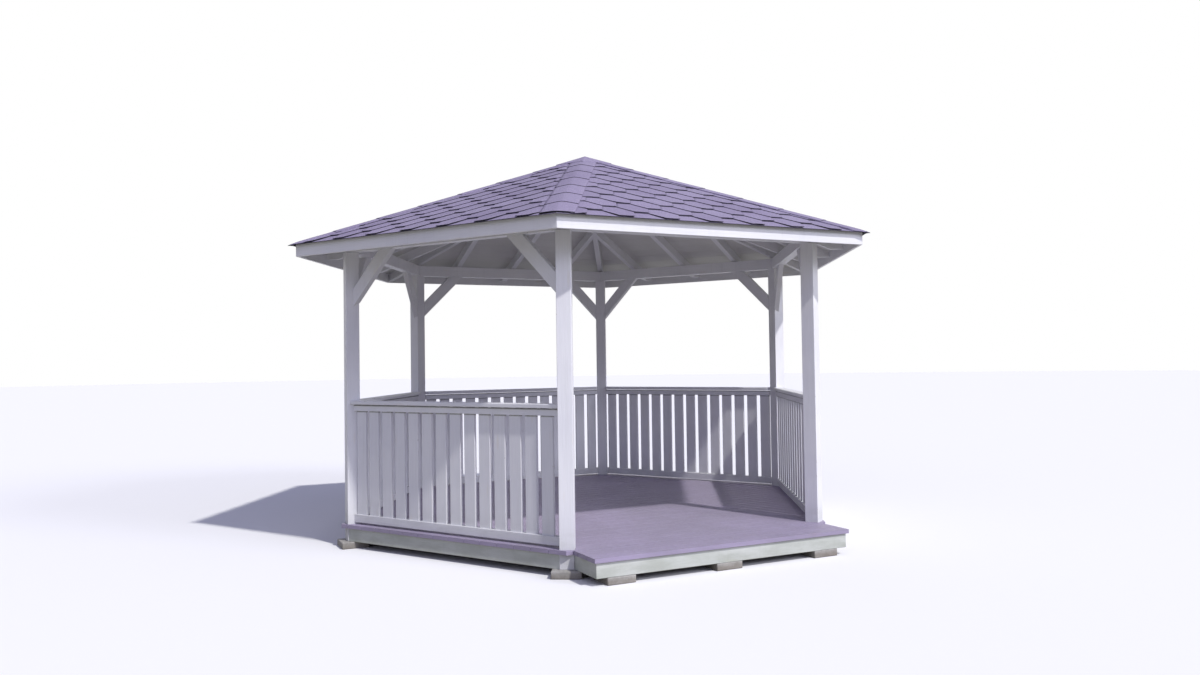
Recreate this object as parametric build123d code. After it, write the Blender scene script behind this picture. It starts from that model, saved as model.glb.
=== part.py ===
from build123d import *
import math
import os

# Hexagonal open garden gazebo of painted timber.
# Millimetres, +Z up. The origin is on the ground under the middle of the floor, and the entrance
# side faces -Y. Every side of the hexagon is drawn facing +Y and then turned to its place.

# Plan
post_circle = 2000.0        # radius of the circle through the six post axes
post_size = 98.0            # square posts, two faces square to the radius

# Ground and floor
pad_size = 200.0            # square concrete pads
pad_height = 50.0
joist_width = 48.0
joist_depth = 98.0
joist_spacing = 400.0
padded_joists = (-2, 0, 2)  # joists with a pad at mid length, counted from the middle one
deck_thickness = 28.0
deck_reach = 75.0           # edge of the deck, out from the line of the posts
deck_post_gap = 2.0         # air between the deck and a post that passes through it
rim_reach = 60.0            # outer face of the rim joists, out from the line of the posts
landing_reach = 386.0       # front edge of the landing at the entrance, out from the line of the posts
landing_gap = 5.0           # between the deck and the landing

# Railings, heights from the floor
handrail_height = 930.0     # top of the handrail
handrail_width = 95.0
handrail_thickness = 28.0
rail_width = 48.0
top_rail_depth = 50.0
bottom_rail_depth = 58.0
bottom_rail_gap = 15.0      # air under the bottom rail
board_width = 95.0
board_thickness = 21.0
board_gap = 39.0            # between boards
board_post_gap = 2.0        # least gap between a board and a post
board_tongue = 10.0         # how far a board runs into the grooves of its rails

# Ring beam and knee braces
head_height = 2057.0        # underside of the ring beam above the floor
beam_width = 73.0
beam_depth = 98.0
brace_reach = 400.0         # from the corner of post and beam to the lower edge of a brace
brace_depth = 95.0
brace_width = 45.0

# Roof
roof_pitch = 22.0           # degrees, measured square to an eave
rafter_width = 48.0
rafter_depth = 73.0
heel_notch = 18.0           # depth of a rafter's notch at the outer face of the ring beam
jack_offset = 577.0         # jack rafters each side of the middle rafter
roof_board = 20.0
eave_reach = 352.0          # outer face of the fascia, out from the line of the posts
fascia_thickness = 21.0
fascia_depth = 95.0
king_drop = 60.0            # king block below the undersides of the hip rafters
king_chamfer = 12.0

# Roof covering
shingle_reach = 30.0        # lowest shingle edge, out from the fascia
course = 132.0              # exposed height of a course, up the slope
shingle_bed = 5.0           # felt thickness at the upper end of each exposed strip
shingle_step = 4.0          # how far the lower edge of a course stands proud
hip_cap_width = 220.0       # in plan, over both slopes
hip_cap_thickness = 4.0
hip_cap_over = 20.0         # past the lowest shingle edge, square to an eave in plan
hip_cap_head = 210.0        # upper end of a hip cap, from the middle in plan
apex_cap_reach = 235.0      # edge of the cap over the apex, square to an eave in plan

# Values worked out from the sizes above
COS30 = math.cos(math.radians(30))
TAN30 = math.tan(math.radians(30))
SLOPE = math.tan(math.radians(roof_pitch))
PLUMB = 1 / math.cos(math.radians(roof_pitch))   # plumb height of a thickness laid on the slope

post_line = post_circle * COS30                  # the line through two post axes, from the middle
floor_top = pad_height + joist_depth + deck_thickness
deck_overhang = deck_reach - rim_reach
landing_rim = landing_reach - deck_overhang      # outer face of the landing's frame
beam_bottom = floor_top + head_height
beam_top = beam_bottom + beam_depth
notch_at_post_line = heel_notch - beam_width / 2 * SLOPE
under_boards = beam_top + rafter_depth * PLUMB - notch_at_post_line   # at the line of the posts
fascia_face = post_line + eave_reach
fascia_back = fascia_face - fascia_thickness

# Sides by the way they face, and posts by their place, anticlockwise from +X
SIDE_ANGLES = {
    "back_right": 30,
    "back": 90,
    "back_left": 150,
    "front_left": 210,
    "front": 270,
    "front_right": 330,
}
POST_ANGLES = {
    "right": 0,
    "back_right": 60,
    "back_left": 120,
    "left": 180,
    "front_left": 240,
    "front_right": 300,
}
RAILED = [name for name in SIDE_ANGLES if name != "front"]

os.makedirs("parts", exist_ok=True)


def save(name, solids):
    """Write one node; it holds one solid, or several that don't touch."""
    solids = list(solids)
    shape = solids[0] if len(solids) == 1 else Compound(children=solids)
    export_step(shape, f"parts/{name}.step")


def facing(angle):
    """Turn a piece drawn for a side that faces +Y to a side that faces this angle."""
    return Rot(0, 0, angle - 90)


def at_post(angle):
    """Turn a piece drawn along +X to the post at this angle."""
    return Rot(0, 0, angle)


def roof_z(y, height=0.0):
    """Height of the roof over a point y out from the middle, square to an eave.

    height is measured square to the slope from the underside of the roof boards."""
    return under_boards + (post_line - y) * SLOPE + height * PLUMB


def plan_prism(points, z0, z1):
    """Upright prism over an outline in plan."""
    outline = make_face(Polyline(*points, close=True))
    return Pos(0, 0, z0) * extrude(outline, z1 - z0, dir=(0, 0, 1))


def half_bay(out):
    """From the middle of a side to the side face of its post, at a distance out from the post line."""
    return post_circle / 2 - (post_size / 2 - out / 2) / COS30


def bay_bar(out0, out1, z0, z1):
    """Bar between two posts, with its ends scribed to their side faces.

    out0 and out1 are its inner and outer faces, measured out from the line of the posts."""
    points = []
    for out, end in ((out0, -1), (out0, 1), (out1, 1), (out1, -1)):
        points.append((end * half_bay(out), post_line + out))
    return plan_prism(points, z0, z1)


def side_box(half, out0, out1, z0, z1):
    """Box along a side, of a half length, between two distances out from the line of the posts."""
    y0 = post_line + out0
    y1 = post_line + out1
    return plan_prism([(-half, y0), (half, y0), (half, y1), (-half, y1)], z0, z1)


def sector(start, reach, z0, z1):
    """Wedge of 60 degrees about +Y, with its point at a distance from the middle."""
    half = (reach - start) * TAN30
    return plan_prism([(0, start), (half, reach), (-half, reach)], z0, z1)


def mitred(section, reach):
    """Sweep a section, given as (out from the middle, height), along an eave, mitred at the hips."""
    half = reach * TAN30
    outline = make_face(Polyline(*[(0, y, z) for y, z in section], close=True))
    bar = extrude(outline, half, dir=(1, 0, 0), both=True)
    heights = [z for _, z in section]
    return bar & sector(0, reach, min(heights) - 1, max(heights) + 1)


def hexagon_prism(apothem, z0, z1):
    """Upright prism whose sides face the six sides of the gazebo."""
    corner = apothem / COS30
    points = []
    for angle in POST_ANGLES.values():
        turn = math.radians(angle)
        points.append((corner * math.cos(turn), corner * math.sin(turn)))
    return plan_prism(points, z0, z1)


def make_post(z0=None, z1=None, size=post_size):
    """Square post on the +X axis, from its pad to the ring beam unless other heights are given."""
    z0 = pad_height if z0 is None else z0
    z1 = beam_bottom if z1 is None else z1
    return Pos(post_circle, 0, (z0 + z1) / 2) * Box(size, size, z1 - z0)


def make_pads():
    """A pad under each post, and pads under three joists at mid floor and under the landing."""
    pad = Pos(0, 0, pad_height / 2) * Box(pad_size, pad_size, pad_height)
    pads = [at_post(angle) * Pos(post_circle, 0, 0) * pad for angle in POST_ANGLES.values()]
    landing_line = post_line + landing_rim - pad_size / 2
    for step in padded_joists:
        pads.append(Pos(step * joist_spacing, 0, 0) * pad)
        pads.append(Pos(step * joist_spacing, -landing_line, 0) * pad)
    return pads


def make_rim_joist():
    return bay_bar(rim_reach - joist_width, rim_reach, pad_height, pad_height + joist_depth)


def make_landing_frame():
    """Rim joist of the entrance side, joined with the frame of the landing in front of it."""
    z0 = pad_height
    z1 = pad_height + joist_depth
    half = half_bay(rim_reach)
    frame = side_box(half, rim_reach, landing_rim, z0, z1)
    frame -= side_box(half - joist_width, rim_reach, landing_rim - joist_width, z0, z1)
    return make_rim_joist() + frame


def make_landing_bearers():
    """Short bearers inside the landing's frame, on the lines of the floor joists."""
    half = joist_width / 2
    room = half_bay(rim_reach) - joist_width - half
    count = int(room // joist_spacing)
    bearer = side_box(half, rim_reach, landing_rim - joist_width, pad_height, pad_height + joist_depth)
    return [Pos(step * joist_spacing, 0, 0) * bearer for step in range(-count, count + 1)]


def make_joists():
    """Joists from front to back, cut to the rim joists and clear of the posts."""
    z0 = pad_height
    z1 = pad_height + joist_depth
    inside = hexagon_prism(post_line + rim_reach - joist_width, z0, z1)
    for angle in POST_ANGLES.values():
        inside -= at_post(angle) * make_post(z0, z1)
    length = 2 * post_circle
    count = int((post_circle - post_size) // joist_spacing)
    joists = []
    for step in range(-count, count + 1):
        bar = Pos(step * joist_spacing, 0, (z0 + z1) / 2) * Box(joist_width, length, joist_depth)
        joists += (bar & inside).solids()
    return joists


def make_deck():
    """Floor of boards laid edge to edge, cut round the posts."""
    z0 = floor_top - deck_thickness
    deck = hexagon_prism(post_line + deck_reach, z0, floor_top)
    for angle in POST_ANGLES.values():
        deck -= at_post(angle) * make_post(z0, floor_top, post_size + 2 * deck_post_gap)
    return deck


def make_landing():
    """Boards of the landing, level with the floor."""
    half = half_bay(rim_reach) + deck_overhang
    return side_box(half, deck_reach + landing_gap, landing_reach, floor_top - deck_thickness, floor_top)


def make_railing(from_post=False):
    """Bottom rail, top rail and upright boards of one bay, joined as one panel.

    The boards are centred in the bay, or set out from its post on the +X side."""
    bottom = floor_top + bottom_rail_gap
    bottom_top = bottom + bottom_rail_depth
    top = floor_top + handrail_height - handrail_thickness
    top_bottom = top - top_rail_depth
    panel = bay_bar(-rail_width / 2, rail_width / 2, bottom, bottom_top)
    panel += bay_bar(-rail_width / 2, rail_width / 2, top_bottom, top)
    room = 2 * (half_bay(-board_thickness / 2) - board_post_gap)
    pitch = board_width + board_gap
    count = int((room + board_gap) // pitch)
    middle = (room + board_gap - count * pitch) / 2 if from_post else 0.0
    z0 = bottom_top - board_tongue
    z1 = top_bottom + board_tongue
    boards = []
    for index in range(count):
        x = middle + (index - (count - 1) / 2) * pitch
        board = Box(board_width, board_thickness, z1 - z0)
        boards.append(Pos(x, post_line, (z0 + z1) / 2) * board)
    return panel.fuse(*boards)


def make_handrail():
    top = floor_top + handrail_height
    return bay_bar(-handrail_width / 2, handrail_width / 2, top - handrail_thickness, top)


def make_braces():
    """Two knee braces of one bay, from the posts up to the underside of the ring beam."""
    face = post_circle / 2 - post_size / 2 / COS30
    rise = brace_depth * math.sqrt(2)
    spare = post_size / 2       # length run on into the post and then cut off by the bay
    low = beam_bottom - brace_reach
    outline = [
        (face - brace_reach, beam_bottom),
        (face + spare, low - spare),
        (face + spare, low - spare + rise),
        (face - brace_reach + rise, beam_bottom),
    ]
    side = make_face(Polyline(*[(x, post_line, z) for x, z in outline], close=True))
    brace = extrude(side, brace_width / 2, dir=(0, 1, 0), both=True)
    brace &= bay_bar(-brace_width / 2, brace_width / 2, low - post_size, beam_bottom)
    return [brace, brace.mirror(Plane.YZ)]


def make_ring_beam():
    inner = post_line - beam_width / 2
    outer = post_line + beam_width / 2
    return mitred([(inner, beam_bottom), (outer, beam_bottom), (outer, beam_top), (inner, beam_top)], outer)


def make_beam_space():
    """The whole ring of beams, as the space that the rafters are notched over."""
    outer = hexagon_prism(post_line + beam_width / 2, beam_bottom, beam_top)
    return outer - hexagon_prism(post_line - beam_width / 2, beam_bottom, beam_top)


def make_rafter(x, notch):
    """Rafter square to the eave, x from the middle of its side, cut to the hip rafters."""
    depth = -rafter_depth
    section = [
        (0, roof_z(0)),
        (fascia_back, roof_z(fascia_back)),
        (fascia_back, roof_z(fascia_back, depth)),
        (0, roof_z(0, depth)),
    ]
    outline = make_face(Polyline(*[(x, y, z) for y, z in section], close=True))
    bar = extrude(outline, rafter_width / 2, dir=(1, 0, 0), both=True)
    # the side faces of two hip rafters meet at one rafter width from the middle
    between_hips = sector(rafter_width, post_line + 2 * eave_reach, beam_bottom, roof_z(0) + 1)
    return (bar & between_hips) - notch


def make_hip_rafter(notch):
    """Rafter along +X over a post, backed to both slopes, from the king block to the fascia."""
    def ridge(x, height=0.0):
        return roof_z(x * COS30, height)

    start = rafter_width * COS30
    end = fascia_back / COS30
    plumb = rafter_depth * math.hypot(1, SLOPE * COS30)
    outline = make_face(Polyline(
        (start, 0, ridge(start)),
        (end, 0, ridge(end)),
        (end, 0, ridge(end) - plumb),
        (start, 0, ridge(start) - plumb),
        close=True,
    ))
    bar = extrude(outline, rafter_width / 2, dir=(0, 1, 0), both=True)
    return under_roof(bar) & hexagon_prism(fascia_back, beam_bottom - fascia_depth, roof_z(0)) - notch


def under_roof(piece, height=0.0):
    """Keep what lies under the six slopes, or under surfaces parallel to them."""
    apex = (0, 0, roof_z(0, height))
    pitch = math.radians(roof_pitch)
    for angle in SIDE_ANGLES.values():
        turn = math.radians(angle)
        normal = (math.sin(pitch) * math.cos(turn), math.sin(pitch) * math.sin(turn), math.cos(pitch))
        piece = split(piece, bisect_by=Plane(apex, z_dir=normal), keep=Keep.BOTTOM)
    return piece


def make_king_block():
    """Six-sided block at the apex with a face for each hip rafter, chamfered at its foot."""
    plumb = rafter_depth * math.hypot(1, SLOPE * COS30)
    foot = roof_z(rafter_width) - plumb - king_drop
    outline = RegularPolygon(rafter_width, 6, rotation=30)
    block = Pos(0, 0, foot) * extrude(outline, roof_z(0) - foot, dir=(0, 0, 1))
    block = chamfer(block.faces().sort_by(Axis.Z)[0].edges(), king_chamfer)
    return under_roof(block)


def make_roof_boards():
    section = [
        (fascia_back, roof_z(fascia_back)),
        (fascia_back, roof_z(fascia_back, roof_board)),
        (0, roof_z(0, roof_board)),
        (0, roof_z(0)),
    ]
    return mitred(section, fascia_back)


def make_fascia():
    """Upright board over the rafter ends, its top bevelled flush with the roof boards."""
    foot = roof_z(fascia_face, roof_board) - fascia_depth
    section = [
        (fascia_back, foot),
        (fascia_face, foot),
        (fascia_face, roof_z(fascia_face, roof_board)),
        (fascia_back, roof_z(fascia_back, roof_board)),
    ]
    return mitred(section, fascia_face)


def slope_point(distance, height):
    """Point a distance up the slope from the lowest shingle edge, above the roof boards."""
    run = math.cos(math.radians(roof_pitch))
    rise = math.sin(math.radians(roof_pitch))
    y = fascia_face + shingle_reach
    z = roof_z(y, roof_board)
    return (y - distance * run + height * rise, z + distance * rise + height * run)


def make_shingles():
    """Covering of one slope, each course standing proud of the one above it."""
    length = (fascia_face + shingle_reach) * PLUMB + course
    section = [slope_point(0, 0)]
    distance = 0.0
    while distance < length:
        section.append(slope_point(distance, shingle_bed + shingle_step))
        distance += course
        section.append(slope_point(distance, shingle_bed))
    section.append(slope_point(distance, 0))
    return mitred(section, fascia_face + shingle_reach + shingle_bed + shingle_step)


def cover_layer(height, thickness, reach):
    """Thin layer over one slope, out to a distance from the middle."""
    section = [
        (reach, roof_z(reach, height)),
        (reach, roof_z(reach, height + thickness)),
        (0, roof_z(0, height + thickness)),
        (0, roof_z(0, height)),
    ]
    return mitred(section, reach)


def make_hip_cap():
    """Folded strip over the hip above +X, from under the apex cap to just past both eaves."""
    height = roof_board + shingle_bed + shingle_step
    reach = fascia_face + shingle_reach + hip_cap_over
    layer = cover_layer(height, hip_cap_thickness, reach)
    fold = (facing(30) * layer).fuse(facing(-30) * layer)
    tail = reach / COS30
    half = hip_cap_width / 2
    outline = [(hip_cap_head, -half), (tail, -half), (tail, half), (hip_cap_head, half)]
    return fold & plan_prism(outline, roof_z(tail), roof_z(0, height + hip_cap_thickness))


def make_apex_cap():
    """Low six-sided cap over the upper ends of the hip caps."""
    height = roof_board + shingle_bed + shingle_step + hip_cap_thickness
    layer = cover_layer(height, hip_cap_thickness, apex_cap_reach)
    turned = [facing(angle) * layer for angle in SIDE_ANGLES.values()]
    return turned[0].fuse(*turned[1:])


# Ground and floor
save("foundation_pads", make_pads())
entrance = facing(SIDE_ANGLES["front"])
rims = [facing(SIDE_ANGLES[name]) * make_rim_joist() for name in RAILED]
save("rim_joists", rims + [entrance * make_landing_frame()])
save("floor_joists", make_joists() + [entrance * bearer for bearer in make_landing_bearers()])
save("deck_floor", [make_deck(), entrance * make_landing()])

# Posts and railings
for name, angle in POST_ANGLES.items():
    save(f"post_{name}", [at_post(angle) * make_post()])
for name in RAILED:
    from_post = name == "front_left"
    save(f"railing_{name}", [facing(SIDE_ANGLES[name]) * make_railing(from_post)])
save("handrails", [facing(SIDE_ANGLES[name]) * make_handrail() for name in RAILED])

# Ring beam and braces
for name, angle in SIDE_ANGLES.items():
    save(f"ring_beam_{name}", [facing(angle) * make_ring_beam()])
save("knee_braces", [facing(SIDE_ANGLES[name]) * brace for name in RAILED for brace in make_braces()])

# Roof frame
beam_space = make_beam_space()
rafters = [make_rafter(x, beam_space) for x in (-jack_offset, 0.0, jack_offset)]
save("common_rafters", [facing(angle) * rafter for angle in SIDE_ANGLES.values() for rafter in rafters])
save("hip_rafters", [at_post(angle) * make_hip_rafter(beam_space) for angle in POST_ANGLES.values()])
save("king_block", [make_king_block()])

# Roof boards, fascia and covering
for name, angle in SIDE_ANGLES.items():
    save(f"roof_boards_{name}", [facing(angle) * make_roof_boards()])
    save(f"fascia_{name}", [facing(angle) * make_fascia()])
    save(f"shingles_{name}", [facing(angle) * make_shingles()])
save("hip_caps", [at_post(angle) * make_hip_cap() for angle in POST_ANGLES.values()])
save("apex_cap", [make_apex_cap()])
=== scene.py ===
# %% [markdown]
# # A hexagonal garden gazebo, dressed in Blender
#
# The gazebo is a timber summer house without walls: six square posts on a raised wooden floor, five
# railings, a ring of beams with knee braces, and a low six-sided roof covered with felt shingles. The
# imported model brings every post, beam and board in its right place. This file turns those plain solids
# into painted, weathered timber and a real shingled roof, one kind of piece at a time.

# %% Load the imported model
import math
import random

import bmesh
import bpy
from mathutils import Matrix, Vector


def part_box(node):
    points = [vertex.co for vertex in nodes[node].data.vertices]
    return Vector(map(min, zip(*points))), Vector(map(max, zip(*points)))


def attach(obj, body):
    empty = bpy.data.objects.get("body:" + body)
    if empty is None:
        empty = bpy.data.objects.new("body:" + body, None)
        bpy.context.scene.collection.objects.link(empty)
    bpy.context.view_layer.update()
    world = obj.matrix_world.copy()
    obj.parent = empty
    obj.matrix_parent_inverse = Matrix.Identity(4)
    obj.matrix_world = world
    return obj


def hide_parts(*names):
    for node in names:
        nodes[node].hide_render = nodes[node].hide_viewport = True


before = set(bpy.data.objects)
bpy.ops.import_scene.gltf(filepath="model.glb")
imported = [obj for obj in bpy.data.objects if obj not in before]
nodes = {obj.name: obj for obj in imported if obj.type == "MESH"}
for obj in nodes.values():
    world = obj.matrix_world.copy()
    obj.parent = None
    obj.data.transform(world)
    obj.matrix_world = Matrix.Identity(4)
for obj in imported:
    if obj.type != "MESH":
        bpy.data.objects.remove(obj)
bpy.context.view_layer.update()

# %% [markdown]
# ## Directions
#
# The plan is a regular hexagon, so a few angles turn up again and again. A heading is an angle in plan, in
# degrees, anticlockwise from +X as seen from above. A side is named for where it lies for someone who looks
# in through the entrance, and its heading is the way it faces.

# %% Directions
COS30 = math.cos(math.radians(30))
SIN30 = math.sin(math.radians(30))
TAN30 = math.tan(math.radians(30))
UP = Vector((0.0, 0.0, 1.0))
SIDE_HEADINGS = {
    "back_right": 30, "back": 90, "back_left": 150, "front_left": 210, "front": 270, "front_right": 330,
}
RAILED = [side for side in SIDE_HEADINGS if side != "front"]      # the entrance is at the front
POST_LINE = 2.0 * COS30       # from the middle of the floor to the line of the posts


def level(heading):
    """The level direction of a heading."""
    return Vector((math.cos(math.radians(heading)), math.sin(math.radians(heading)), 0.0))


def turned_to(side):
    """The turn that brings what is drawn facing +Y to its side."""
    return Matrix.Rotation(math.radians(SIDE_HEADINGS[side] - 90), 4, "Z")


print("sides:", ", ".join(SIDE_HEADINGS))

# %% [markdown]
# ## The viewpoint
#
# The camera stands at eye height, eight metres from the middle of the floor, and looks at it past the front
# left post. Its place and the way it looks come from matching the posts, rails and eaves of the model to
# the photograph. A heading, a pitch and a roll are easier to read and to correct than one matrix, so they
# are kept apart here.

# %% Camera
CAMERA_PLACE = Vector((-3.531, -7.306, 1.381))
CAMERA_HEADING = 63.4386      # degrees, anticlockwise from +X
CAMERA_PITCH = 1.4171         # degrees, up from level
CAMERA_ROLL = -0.8145         # degrees, about the line of sight
CAMERA_LENS = 28.36           # millimetres, on a 36 mm wide sensor

camera_data = bpy.data.cameras.new("camera")
camera_data.lens = CAMERA_LENS
camera_data.sensor_width = 36.0
camera_data.sensor_fit = "HORIZONTAL"
bpy.context.scene.view_settings.view_transform = "Standard"
camera = bpy.data.objects.new("camera", camera_data)
turn = Matrix.Rotation(math.radians(CAMERA_HEADING - 90), 4, "Z")
turn = turn @ Matrix.Rotation(math.radians(90 + CAMERA_PITCH), 4, "X")
turn = turn @ Matrix.Rotation(math.radians(CAMERA_ROLL), 4, "Z")
camera.matrix_world = Matrix.Translation(CAMERA_PLACE) @ turn
bpy.context.scene.collection.objects.link(camera)
bpy.context.scene.camera = camera
print("camera:", tuple(round(v, 3) for v in camera.location), "lens:", CAMERA_LENS)

# %% [markdown]
# ## Small helpers for shader nodes
#
# A material in code is a list of nodes and the wires between them. Short helpers keep that readable: one
# feeds a socket with either a number or a wire, one adds a node, and the others are shorthands for the
# kinds of node that turn up again and again.

# %% Node helpers
def feed(tree, socket, value):
    """Give a socket a wire, or a plain number or colour."""
    if isinstance(value, bpy.types.NodeSocket):
        tree.links.new(value, socket)
    else:
        socket.default_value = value


def add(tree, kind, inputs=(), **settings):
    """Add a node, with its settings, and feed its inputs by name or number."""
    made = tree.nodes.new(kind)
    for name, value in settings.items():
        setattr(made, name, value)
    for name, value in dict(inputs).items():
        feed(tree, made.inputs[name], value)
    return made


def maths(tree, operation, a, b=0.0, clamp=False):
    """One step of arithmetic."""
    return add(tree, "ShaderNodeMath", {0: a, 1: b}, operation=operation, use_clamp=clamp).outputs[0]


def times(tree, a, b):
    return maths(tree, "MULTIPLY", a, b)


def spread(tree, value, low, high, to_low=0.0, to_high=1.0):
    """Stretch the part of a value between low and high, with soft ends."""
    inputs = {"Value": value, "From Min": low, "From Max": high, "To Min": to_low, "To Max": to_high}
    return add(tree, "ShaderNodeMapRange", inputs, interpolation_type="SMOOTHSTEP").outputs["Result"]


def mix(tree, factor, a, b):
    """Mix two colours, each a wire or red, green and blue."""
    made = add(tree, "ShaderNodeMix", data_type="RGBA", blend_type="MIX")
    feed(tree, made.inputs[0], factor)
    for socket, colour in ((made.inputs[6], a), (made.inputs[7], b)):
        feed(tree, socket, (*colour, 1.0) if isinstance(colour, tuple) else colour)
    return made.outputs[2]


def noise(tree, vector, scale, detail=3.0, roughness=0.5, distortion=0.0):
    inputs = {"Vector": vector, "Scale": scale, "Detail": detail, "Roughness": roughness, "Distortion": distortion}
    return add(tree, "ShaderNodeTexNoise", inputs).outputs["Fac"]


def stretched(tree, vector, scale):
    """The same coordinates, counted at another rate along each axis."""
    return add(tree, "ShaderNodeMapping", {"Vector": vector, "Scale": scale}).outputs["Vector"]


def attribute(tree, name, output="Fac"):
    return add(tree, "ShaderNodeAttribute", attribute_name=name).outputs[output]


def position(tree):
    """The place of a point in the room."""
    return add(tree, "ShaderNodeNewGeometry").outputs["Position"]


def bump(tree, shader, height, strength, distance):
    """Let a height turn the normal of a shader."""
    made = add(tree, "ShaderNodeBump", {"Height": height, "Strength": strength, "Distance": distance})
    feed(tree, shader.inputs["Normal"], made.outputs["Normal"])


def start_group(name, inputs, outputs):
    """A new node group with named sockets; returns its tree, its input sockets and its output node."""
    tree = bpy.data.node_groups.new(name, "ShaderNodeTree")
    for direction, sockets in (("INPUT", inputs), ("OUTPUT", outputs)):
        for label, kind in sockets:
            tree.interface.new_socket(name=label, in_out=direction, socket_type=f"NodeSocket{kind}")
    return tree, tree.nodes.new("NodeGroupInput").outputs, tree.nodes.new("NodeGroupOutput")


def use_group(tree, group, **inputs):
    """Place a node group in a material."""
    made = add(tree, "ShaderNodeGroup", node_tree=group)
    for name, value in inputs.items():
        feed(tree, made.inputs[name.replace("_", " ")], value)
    return made.outputs


print("node helpers ready")

# %% [markdown]
# ## Wood grain
#
# Planed softwood has long fibres, slow bands of early and late wood, and now and then a knot. All of it
# follows the length of each board, so the meshes below carry an attribute called grain: the place of a
# point in metres, with X along its board. Stretching noise along X then gives fibres that turn with every
# post, rafter and brace, which a texture in room coordinates couldn't do.

# %% Grain group
tree, given, given_out = start_group(
    "wood grain",
    [("Grain", "Vector")],
    [("Fibres", "Float"), ("Bands", "Float"), ("Knots", "Float")],
)
fibres = noise(tree, stretched(tree, given["Grain"], (6.0, 260.0, 260.0)), 1.0, 4.0, 0.6, 0.3)
bands = noise(tree, stretched(tree, given["Grain"], (0.9, 34.0, 34.0)), 1.0, 2.0, 0.5, 1.2)
knot_cells = add(
    tree, "ShaderNodeTexVoronoi",
    {"Vector": stretched(tree, given["Grain"], (2.2, 11.0, 11.0)), "Scale": 1.0, "Randomness": 1.0},
)
feed(tree, given_out.inputs["Fibres"], spread(tree, fibres, 0.35, 0.7))
feed(tree, given_out.inputs["Bands"], spread(tree, bands, 0.35, 0.65))
feed(tree, given_out.inputs["Knots"], spread(tree, knot_cells.outputs["Distance"], 0.16, 0.05))
grain_group = tree
print("group:", grain_group.name)

# %% [markdown]
# ## Weather
#
# Outdoors, dirt has rules. Rain splashes soil on the lowest half metre, dust and algae settle on faces
# that look up, and water draws faint streaks down the faces that stand upright. The group reads the place
# and the normal of a point and puts out one mask for each, so every finish can use them in its own way.

# %% Weather group
tree, given, given_out = start_group(
    "weather",
    [("Splash Height", "Float")],
    [("Splash", "Float"), ("Settled", "Float"), ("Streaks", "Float"), ("Patches", "Float")],
)
geometry = add(tree, "ShaderNodeNewGeometry")
place = geometry.outputs["Position"]
height = add(tree, "ShaderNodeSeparateXYZ", {"Vector": place}).outputs["Z"]
facing = add(tree, "ShaderNodeSeparateXYZ", {"Vector": geometry.outputs["Normal"]}).outputs["Z"]
speckle = noise(tree, place, 38.0, 6.0, 0.68)
splash = spread(tree, maths(tree, "DIVIDE", height, given["Splash Height"]), 1.0, 0.1)
mud = noise(tree, stretched(tree, place, (5.0, 5.0, 14.0)), 1.0, 4.0, 0.55)
splash = times(tree, splash, spread(tree, mud, 0.3, 0.7, 0.45, 1.0))
settled = times(tree, spread(tree, facing, 0.35, 0.9), spread(tree, speckle, 0.3, 0.62))
streaks = noise(tree, stretched(tree, place, (28.0, 28.0, 1.6)), 1.0, 4.0, 0.6, 0.4)
upright = spread(tree, maths(tree, "ABSOLUTE", facing), 0.5, 0.1)
streaks = times(tree, spread(tree, streaks, 0.5, 0.78), upright)
patches = spread(tree, noise(tree, place, 2.3, 3.0), 0.3, 0.7)
feed(tree, given_out.inputs["Splash"], splash)
feed(tree, given_out.inputs["Settled"], settled)
feed(tree, given_out.inputs["Streaks"], streaks)
feed(tree, given_out.inputs["Patches"], patches)
weather_group = tree
print("group:", weather_group.name)

# %% [markdown]
# ## White paint
#
# The frame is painted white, thickly enough to hide the colour of the wood but not its relief: the fibres
# stand up a little, knots show as faint warm spots, and the paint has broken off the sharpest edges here
# and there. The attribute worn is 1 on the bevelled edges, and tone is a number of each board's own.
# The boards under the roof get a duller, darker white: painted shade, for the shade that the roof casts on
# them. The rim of the floor gets a greyer, slightly greener white. The attribute corner is 1 at the top of
# the boards under the top rail and at the top of the top rail under the handrail, and there the paint is
# darkened: painted shade, for the shadows that the rails cast.

# %% White paint material
def new_material(name, colour):
    """An empty material with a shader, and the colour that shows in the viewport."""
    made = bpy.data.materials.new(name)
    made.use_nodes = True
    made.diffuse_color = (*colour, 1.0)
    tree = made.node_tree
    return made, tree, tree.nodes["Principled BSDF"]


def shaded(colour, shares):
    """A colour with a share of its red, its green and its blue."""
    return tuple(part * share for part, share in zip(colour, shares))


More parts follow.
